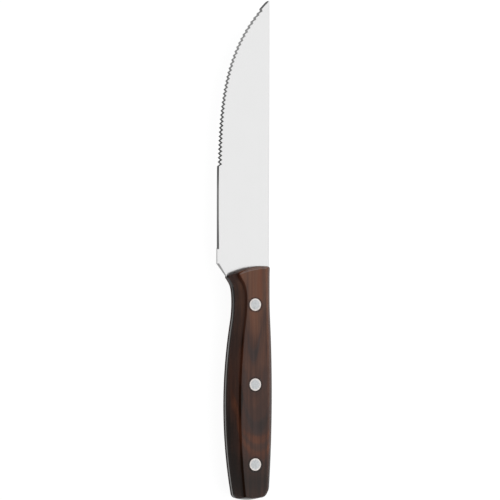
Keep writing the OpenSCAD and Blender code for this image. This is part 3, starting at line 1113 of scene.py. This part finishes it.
    def recipe(self) -> Recipe:
        """Tree that cuts the teeth, drills the tang and gives each face its finish."""
        recipe = Recipe("toothed_edge")
        graph = recipe.graph
        names = ("Pitch", "Depth", "Tip Depth", "Set Back", "From", "To")
        pitch, depth, tip_depth, set_back, start, end = (recipe.ask(name, "Float") for name in names)
        along = recipe.named("along", "FLOAT")
        half = graph.math("MULTIPLY", pitch, 0.5)
        wave = graph.math("DIVIDE", graph.math("PINGPONG", graph.math("SUBTRACT", along, start), half), half)
        share = {"Value": along, "From Min": start, "From Max": end, "To Min": depth, "To Max": tip_depth}
        here = graph.add("ShaderNodeMapRange", share)
        lag = graph.math("MULTIPLY_ADD", graph.math("SUBTRACT", depth, here), 0.5, set_back)
        margin = graph.math("MULTIPLY", half, 0.5)
        after = graph.math("GREATER_THAN", along, graph.math("ADD", start, margin))
        before = graph.math("LESS_THAN", along, graph.math("SUBTRACT", end, margin))
        inside = graph.math("MULTIPLY", after, before)
        amount = graph.math("MULTIPLY", graph.math("MULTIPLY_ADD", wave, here, lag), inside)
        across = {0: recipe.named("across", "FLOAT_VECTOR"), "Scale": amount}
        offset = graph.add("ShaderNodeVectorMath", across, operation="SCALE")
        cut = graph.add("GeometryNodeSetPosition", {"Geometry": recipe.start(), "Offset": offset})
        cutters = recipe.at_rivets("Drill")
        finishes = [(recipe.ask("Satin", "Material"), True)]
        for name in ("Ground", "Eased", "Cut"):
            finishes.append((recipe.ask(name, "Material"), recipe.named(name.lower(), "BOOLEAN")))
        recipe.finish(recipe.drilled(cut, cutters), finishes)
        return recipe

    def steels(self) -> dict[str, Finish]:
        """Finishes of the satin faces, the ground edge, the eased spine and heel, and the cut tang; the
        ground edge and the cut tang carry painted shade.
        """
        front, middle = self.packed.origin.x, self.packed.origin.y
        satin = Steel(
            name="satin_steel",
            colour=(0.72, 0.72, 0.72),
            roughness=0.15,
            line_size=(0.12 * MM, 9 * MM, 9 * MM),
            line_depth=0.0008 * MM,
            cloud=0.12,
        )
        eased = Steel(
            name="eased_steel",
            colour=(0.5, 0.5, 0.5),
            roughness=0.38,
            line_size=(0.1 * MM, 3 * MM, 3 * MM),
            line_depth=0.002 * MM,
            cloud=0.2,
        )
        # The cut tang's colour carries painted shade on its edge side, darkest at the front.
        cut = Steel(
            name="cut_steel",
            colour=(0.38, 0.37, 0.36),
            roughness=0.42,
            line_size=(2 * MM, 2 * MM, 0.1 * MM),
            line_depth=0.002 * MM,
            cloud=0.2,
            painted_shade=PaintedShade(tuple((front + x, kept) for x, kept in self.tang_painted_shade), middle),
        )
        # Painted shade along the ground edge darkens its colour.
        edge_shade = PaintedShade(tuple((front - d, kept) for d, kept in self.edge_painted_shade))
        ground = replace(eased, name="ground_steel", painted_shade=edge_shade)
        steels = {"Satin": satin, "Ground": ground, "Eased": eased, "Cut": cut}
        return {name: steel.material() for name, steel in steels.items()}

    def build(self) -> bpy.types.Object:
        """Builds, drills and dresses the blank, and returns the finished piece."""
        bore_r, reach = self.packed.rivets.bore_r, 2 * self.packed.steel_half
        profile = [(0, -reach), (bore_r, -reach), (bore_r, reach), (0, reach)]
        drill = lathe("tang_drill", profile, self.bore_turns)
        piece = new_object(self.name, self.mesh())
        values = {
            "Pitch": self.tooth_pitch,
            "Depth": self.tooth_depth,
            "Tip Depth": self.tip_tooth_depth,
            "Set Back": self.tooth_set,
            "From": self.teeth_from,
            "To": self.teeth_to,
            "Drill": drill,
            **self.packed.rivets.inputs(),
            **self.steels(),
        }
        self.recipe().shape(piece, values)
        bpy.data.objects.remove(drill)
        shade(piece, self.sharp_deg)
        seat(piece, "blade_steel", "blade")
        return piece


@dataclass(frozen=True)
class Scale:
    """Wood scale: upright walls, long side bevels, a flat with rivet seats and rounded ends."""

    packed: PackedKnife
    grip: GripOutline
    face: Face
    wall_h: float = 2.3 * MM
    shoulder_r: float = 0.4 * MM
    edge_bevel_w: float = 5.15 * MM
    spine_bevel_w: float = 4.5 * MM
    front_narrow: float = 0.22
    butt_narrow: float = 0.36
    front_loss: float = 0.26
    front_loss_l: float = 14 * MM
    ridge_r: float = 3 * MM
    ridge_deg: float = 14
    end_lean: float = 0.2
    ridge_lean: float = 0.28
    bevel_lean: float = 0.6
    wall_lean: float = 0.95
    front_lean_share: float = 0.65
    front_edge_r: float = 1.6 * MM
    front_corner_r: float = 1.3 * MM
    butt_edge_r: float = 0.7 * MM
    end_blend: float = 0.2 * MM
    seat_gap: float = 0.025 * MM
    seat_turns: int = 64
    sharp_deg: float = 11
    step: float = 1 * MM
    round_steps: int = 14
    bevel_rows: int = 4
    flat_rows: int = 8
    # Painted shade on the edge ridge and the spine bevel, and painted sheen where the spine ridge's share is
    # below 0.
    edge_ridge_painted_shade: float = 0.9
    spine_ridge_painted_sheen: float = -0.2
    spine_bevel_painted_shade: float = 0.6
    ridge_shade_sheen_turn_deg: float = 153

    @property
    def name(self) -> str:
        """Name of the piece."""
        return f"{self.face.name.lower()}_wood_scale"

    def half_section(self, run: np.ndarray) -> tuple[np.ndarray, np.ndarray]:
        """Half of the section at each station, from the wall to the flat.

        Args:
            run: width of the bevel and its rounded ridge at each station.

        Returns:
            Distance from the side, and height above the middle of the steel.
        """
        edge_turn = math.radians(self.ridge_deg)
        middle_in = run + self.ridge_r * math.sin(edge_turn)
        middle_up = self.packed.grip_half - self.ridge_r * math.cos(edge_turn)
        rise = middle_up - self.wall_h
        slope = np.arctan2(rise, middle_in) + np.arcsin(self.ridge_r / np.hypot(rise, middle_in))
        turn = math.pi / 2 - slope
        tangent = self.shoulder_r * np.tan(turn / 2)
        shares = np.linspace(0, 1, self.round_steps // 2 + 1)[None]
        shoulder_in = self.shoulder_r * (1 - np.cos(turn * shares))
        shoulder_up = self.wall_h - tangent + self.shoulder_r * np.sin(turn * shares)
        angle = mix(slope, edge_turn, np.linspace(0, 1, self.round_steps + 1)[None])
        ridge_in = middle_in - self.ridge_r * np.sin(angle)
        ridge_up = middle_up + self.ridge_r * np.cos(angle)
        along = np.linspace(0, 1, self.bevel_rows + 1)[None, 1:-1]
        bevel_in = mix(shoulder_in[:, -1:], ridge_in[:, :1], along)
        bevel_up = mix(shoulder_up[:, -1:], ridge_up[:, :1], along)
        return np.hstack([shoulder_in, bevel_in, ridge_in]), np.hstack([shoulder_up, bevel_up, ridge_up])

    def bevel_width(
        self, along: np.ndarray, greatest: float, widest_x: float, stand_in: np.ndarray
    ) -> np.ndarray:
        """Width of one bevel at each station.

        Args:
            along: stations as distances from the front.
            greatest: width where the grip is widest.
            widest_x: place of that along the grip.
            stand_in: distance by which the side stands in from there.

        Returns:
            Width of the bevel with its rounded ridge.
        """
        return greatest - np.where(along < widest_x, self.front_narrow, self.butt_narrow) * stand_in

    def section(
        self, share: np.ndarray, edge: np.ndarray, spine: np.ndarray
    ) -> tuple[np.ndarray, np.ndarray]:
        """Section of the upper side at each station, from the edge side to the spine side.

        Args:
            share: stations from the front to the butt.
            edge: height of the edge side at each station.
            spine: height of the spine side at each station.

        Returns:
            The points' y and z, one row per station.
        """
        grip = self.grip
        along = share * self.packed.grip_l
        low_w = self.bevel_width(along, self.edge_bevel_w, grip.belly_x, grip.belly_drop + edge)
        low_w = low_w * (1 - self.front_loss * smooth_step(1 - along / self.front_loss_l))
        high_w = self.bevel_width(along, self.spine_bevel_w, grip.swell_x, grip.swell_h - spine)
        low_in, low_up = self.half_section(np.maximum(self.ridge_r, low_w))
        high_in, high_up = self.half_section(np.maximum(self.ridge_r, high_w))
        low, high = edge + low_in, spine - high_in
        shares = np.linspace(0, 1, self.flat_rows + 1)[None, 1:-1]
        flat = mix(low[:, -1:], high[:, -1:], shares)
        y = np.hstack([low, flat, high[:, ::-1]])
        z = np.hstack([low_up, np.full_like(flat, self.packed.grip_half), high_up[:, ::-1]])
        return y, z

    def shades_and_sheens(self) -> np.ndarray:
        """Share of painted shade at each point of a ring, full on the walls, and painted sheen below 0 where
        the wood is paler.
        """
        wall = np.linspace(1, 0, self.round_steps // 2 + 1)
        bevel = np.zeros(self.bevel_rows - 1)
        turns = np.linspace(0, math.radians(self.ridge_shade_sheen_turn_deg), self.round_steps + 1)
        ridge = np.sin(turns) ** 2
        low = np.concatenate([wall, bevel, self.edge_ridge_painted_shade * ridge])
        bevel_shade, ridge_sheen = self.spine_bevel_painted_shade, self.spine_ridge_painted_sheen
        high = np.concatenate([np.maximum(wall, bevel_shade), bevel + bevel_shade, ridge_sheen * ridge])
        upper = np.concatenate([low, np.zeros(self.flat_rows - 1), high[::-1]])
        return np.concatenate([upper, np.ones_like(upper)])

    def mesh(self) -> bpy.types.Mesh:
        """Mesh of the scale before its rivet seats are sunk, carrying the painted shade and sheen that its
        finish reads.
        """
        grip, length = self.grip, self.packed.grip_l
        front_zone = max(self.front_edge_r, self.front_corner_r)
        butt_zone = max(self.butt_edge_r, grip.butt_edge_corner_r, grip.butt_spine_corner_r)
        share = grip.stations(front_zone, butt_zone, self.step, self.round_steps)
        front_inset = corner_inset(self.front_corner_r, share * length)
        sides = [
            grip.side_y(flank, share, np.maximum(front_inset, grip.butt_inset(flank, share)))[:, None]
            for flank in (Flank.EDGE, Flank.SPINE)
        ]
        y, z = self.section(share[:, None], *sides)
        front_drop = corner_inset(self.front_edge_r, share * length)
        butt_drop = corner_inset(self.butt_edge_r, (1 - share) * length)
        drop = np.maximum(front_drop, butt_drop)[:, None]
        blend = self.end_blend * np.minimum(1, drop / self.butt_edge_r)
        z = -smooth_max(-z, drop - self.packed.grip_half, blend)
        share = share[:, None]
        upper = np.stack([grip.station_x(share, y, z), y, z], axis=2)
        base = np.full_like(z, self.packed.steel_half)
        lower = np.stack([grip.station_x(share, y, base), y, base], axis=2)
        points = np.concatenate([upper, lower[:, ::-1]], axis=1) * np.array([1, 1, self.face.value])
        mesh = closed_mesh(self.name, self.packed.placed(points), skin_faces(*points.shape[:2]))
        # Painted shade and sheen for every ring.
        shades_and_sheens = np.tile(self.shades_and_sheens(), len(points))
        mesh.attributes.new(PAINTED_SHADE_SHEEN, "FLOAT", "POINT").data.foreach_set("value", shades_and_sheens)
        return mesh

    def drill(self) -> bpy.types.Object:
        """Cutter for one rivet: the bore and the seat of the head."""
        rivets, side = self.packed.rivets, self.face.value
        floor = side * (self.packed.grip_half - rivets.head_t)
        reach = side * 2 * self.packed.grip_half
        bore_r, seat_r = rivets.bore_r, rivets.head_r + self.seat_gap
        profile = [(0, 0), (bore_r, 0), (bore_r, floor), (seat_r, floor), (seat_r, reach), (0, reach)]
        return lathe("scale_drill", profile, self.seat_turns)

    def recipe(self) -> Recipe:
        """Tree that sinks the rivet seats and gives each part its finish, by the lean of its faces."""
        recipe = Recipe("rivet_seats")
        graph = recipe.graph
        cutters = recipe.at_rivets("Drill")
        x, y, _ = graph.axes(graph.add("GeometryNodeInputNormal", {}))
        to_tip = graph.math("MULTIPLY", x, -1)
        to_edge = graph.math("MULTIPLY", y, Flank.EDGE.value)
        to_side = graph.math("ABSOLUTE", y)
        steep = graph.math("MAXIMUM", to_side, graph.math("MULTIPLY", to_tip, self.front_lean_share))
        leans = {
            ScalePart.END: to_tip,
            ScalePart.RIDGE: to_edge,
            ScalePart.BEVEL: steep,
            ScalePart.WALL: to_side,
        }
        finishes = [(recipe.ask(f"{ScalePart.FLAT.value} Finish", "Material"), True)]
        for part, lean in leans.items():
            faces = graph.math("GREATER_THAN", lean, recipe.ask(f"{part.value} Lean", "Float"))
            finishes.append((recipe.ask(f"{part.value} Finish", "Material"), faces))
        recipe.finish(recipe.drilled(recipe.start(), cutters), finishes)
        return recipe

    def build(self, woods: Mapping[ScalePart, Finish]) -> bpy.types.Object:
        """Builds, drills and dresses the scale.

        Args:
            woods: finish of each part.

        Returns:
            The finished piece.
        """
        drill = self.drill()
        piece = new_object(self.name, self.mesh())
        values = {
            "Drill": drill,
            "End Lean": self.end_lean,
            "Ridge Lean": self.ridge_lean,
            "Bevel Lean": self.bevel_lean,
            "Wall Lean": self.wall_lean,
            **self.packed.rivets.inputs(),
            **{f"{part.value} Finish": wood for part, wood in woods.items()},
        }
        self.recipe().shape(piece, values)
        bpy.data.objects.remove(drill)
        shade(piece, self.sharp_deg)
        seat(piece, "scale_wood", f"{self.face.name.lower()}_scale")
        return piece


@dataclass(frozen=True)
class RivetRow:
    """Row of two-piece rivets: solid pins from the left, hollow sleeves from the right."""

    packed: PackedKnife
    rim_r: float = 0.25 * MM
    sleeve_r: float = 2 * MM
    pin_r: float = 1.3 * MM
    pin_play: float = 0.5 * MM
    fit_gap: float = 0.025 * MM
    rim_steps: int = 6
    turns: int = 64
    sharp_deg: float = 35

    def head(self) -> Profile:
        """Profile of a head, from the middle of its top to its lower edge."""
        top, head_r, rim_r = self.packed.grip_half, self.packed.rivets.head_r, self.rim_r
        angles = np.linspace(math.pi / 2, 0, self.rim_steps + 1)
        rim = [(head_r - rim_r * (1 - math.cos(a)), top - rim_r * (1 - math.sin(a))) for a in angles]
        return [(0, top), *rim, (head_r, top - self.packed.rivets.head_t)]

    def profile(self, half: RivetHalf) -> Profile:
        """Profile of one half, with its head upwards."""
        seat = self.packed.grip_half - self.packed.rivets.head_t
        foot = self.pin_play - seat
        if half is RivetHalf.PIN:
            return [*self.head(), (self.pin_r, seat), (self.pin_r, foot), (0, foot)]
        bore_r = self.pin_r + self.fit_gap
        tube = [(self.sleeve_r, seat), (self.sleeve_r, foot), (bore_r, foot), (bore_r, seat), (0, seat)]
        return [*self.head(), *tube]

    def recipe(self) -> Recipe:
        """Tree that sets the rivets in a row."""
        recipe = Recipe("rivet_row")
        recipe.finish(recipe.at_rivets("Rivet"), [(recipe.ask("Metal", "Material"), True)])
        return recipe

    def build(self, half: RivetHalf, metal: Finish) -> bpy.types.Object:
        """Builds one half of all rivets as one piece.

        Args:
            half: half of the rivets.
            metal: their finish.

        Returns:
            The finished piece.
        """
        name = f"rivet_{half.value}s"
        side = 1 if half is RivetHalf.PIN else -1
        profile = [(radius, side * height) for radius, height in self.profile(half)]
        rivet = lathe("one_rivet", profile, self.turns)
        piece = new_object(name, bpy.data.meshes.new(name))
        self.recipe().shape(piece, {"Rivet": rivet, "Metal": metal, **self.packed.rivets.inputs()})
        bpy.data.objects.remove(rivet)
        shade(piece, self.sharp_deg)
        seat(piece, "rivet_metal", *(f"{place}_rivet_{half.value}" for place in self.packed.rivets.places))
        return piece


@dataclass(frozen=True)
class SoftBox:
    """Large soft lamp that faces the knife, and that metal shows or not."""

    name: str
    toward: tuple[float, float]
    tilt_deg: float = 50
    distance: float = 1.2
    width: float = 0.9
    length: float = 0.9
    radiance: float = 1.4
    shown: bool = False

    def build(self, target: Vector) -> None:
        """Hangs the lamp over a point, tilted from upright towards one side of the knife."""
        tilt = math.radians(self.tilt_deg)
        back = Vector((*(part * math.sin(tilt) for part in self.toward), math.cos(tilt)))
        lamp = bpy.data.lights.new(self.name, "AREA")
        lamp.shape = "RECTANGLE"
        lamp.size, lamp.size_y = self.length, self.width
        lamp.energy = self.radiance * math.pi * self.length * self.width
        hung = bpy.data.objects.new(self.name, lamp)
        turn = back.to_track_quat("Z", "Y").to_matrix().to_4x4()
        hung.matrix_world = Matrix.Translation(target + back * self.distance) @ turn
        hung.visible_camera = False
        hung.visible_glossy = self.shown
        bpy.context.scene.collection.objects.link(hung)


@dataclass(frozen=True)
class Studio:
    """Pale floor, soft light and the camera at the photographed angle."""

    packed: PackedKnife
    view_tilt_deg: float = 23.0
    camera_distance: float = 2.0
    frame_px: int = 500
    origin_px: tuple[float, float] = (249.1, 266.1)
    pixel: float = 0.4719 * MM
    floor_half: float = 8.0
    floor_colour: Colour = (0.8, 0.8, 0.8)
    floor_keep: float = 0.1
    floor_glow: float = 0.95
    ceiling: float = 0.15
    shown_ceiling: float = 0.4
    wall: float = 0.42
    wall_fade: tuple[float, float] = (0.05, 0.6)
    shown_fade: tuple[float, float] = (0.0, -0.3)
    lamps: tuple[SoftBox, ...] = (
        SoftBox(
            name="spine_side_softbox",
            toward=(0, 1),
            tilt_deg=32,
            distance=1.0,
            width=1.35,
            length=3.0,
            radiance=1.0,
            shown=True,
        ),
        SoftBox("tip_side_fill", toward=(-0.7, 0.7)),
        SoftBox("butt_side_fill", toward=(0.7, 0.7)),
    )

    def camera(self) -> None:
        """Points a long lens at the knife, tip up, from above the edge side."""
        tilt = math.radians(self.view_tilt_deg)
        right = Vector((0, math.cos(tilt), math.sin(tilt)))
        down = Vector((1, 0, 0))
        back = Vector((0, -math.sin(tilt), math.cos(tilt)))
        middle = self.frame_px / 2
        target = self.packed.origin + right * (middle - self.origin_px[0]) * self.pixel
        target += down * (middle - self.origin_px[1]) * self.pixel
        lens = bpy.data.cameras.new("photo_view")
        lens.lens = lens.sensor_width * self.camera_distance / (self.frame_px * self.pixel)
        camera = bpy.data.objects.new("photo_view", lens)
        turn = Matrix((right, -down, back)).transposed()
        camera.matrix_world = Matrix.Translation(target + back * self.camera_distance) @ turn.to_4x4()
        bpy.context.scene.collection.objects.link(camera)
        bpy.context.scene.camera = camera

    def floor(self) -> None:
        """Lays the pale floor under the knife."""
        half = self.floor_half
        corners = [(-half, -half, 0), (half, -half, 0), (half, half, 0), (-half, half, 0)]
        mesh = bpy.data.meshes.new("pale_floor")
        mesh.from_pydata(corners, [], [(0, 1, 2, 3)])
        floor = new_object("pale_floor", mesh)
        mesh.materials.append(self.floor_material())

    def floor_material(self) -> Finish:
        """Pale matt floor that shows white, with the knife's soft shadow on it."""
        material = bpy.data.materials.new("pale_floor")
        material.use_nodes = True
        graph = Graph(material.node_tree)
        material.node_tree.nodes.clear()
        rays = graph.node("ShaderNodeLightPath", {}).outputs
        shown = graph.math("MAXIMUM", rays["Is Camera Ray"], rays["Is Glossy Ray"])
        shown = graph.math("MAXIMUM", shown, rays["Is Transmission Ray"])
        matt = graph.add("ShaderNodeBsdfDiffuse", {"Color": (*self.floor_colour, 1)})
        faint = graph.add("ShaderNodeBsdfDiffuse", {"Color": (*[self.floor_keep] * 3, 1)})
        glow = graph.add("ShaderNodeEmission", {"Strength": self.floor_glow})
        white = graph.add("ShaderNodeAddShader", {0: faint, 1: glow})
        surface = graph.add("ShaderNodeMixShader", {0: shown, 1: matt, 2: white})
        graph.node("ShaderNodeOutputMaterial", {"Surface": surface})
        return material

    def room(self) -> None:
        """Lights the room: pale walls under a dim ceiling, which metal shows lighter on the edge side."""
        world = bpy.data.worlds.new("studio_room")
        world.use_nodes = True
        graph = Graph(world.node_tree)
        direction = graph.node("ShaderNodeTexCoord", {}).outputs["Generated"]
        _, across, up = graph.axes(direction)
        shown = graph.node("ShaderNodeLightPath", {}).outputs["Is Glossy Ray"]
        gain = graph.ramp(across, *self.shown_fade, 0.0, self.shown_ceiling - self.ceiling)
        ceiling = graph.math("MULTIPLY_ADD", shown, gain, self.ceiling)
        level = graph.ramp(up, *self.wall_fade, self.wall, ceiling)
        graph.feed(world.node_tree.nodes["Background"].inputs["Color"], level)
        bpy.context.scene.world = world

    def build(self) -> None:
        """Sets up the whole studio."""
        bpy.context.scene.view_settings.view_transform = "Standard"
        self.camera()
        self.floor()
        self.room()
        for lamp in self.lamps:
            lamp.build(self.packed.origin)


def main() -> None:
    """Builds the studio and the knife."""
    logging.basicConfig(level=logging.INFO, format="%(name)s: %(message)s")
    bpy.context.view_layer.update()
    packed = PackedKnife.measured()
    grip = GripOutline(packed)
    Studio(packed).build()
    woods = StainedWood(packed.rivets).finishes()
    metal = RivetMetal(packed.rivets).material()
    Blade(packed, grip).build()
    for face in Face:
        Scale(packed, grip, face).build(woods)
    for half in RivetHalf:
        RivetRow(packed).build(half, metal)


if __name__ == "__main__":
    main()
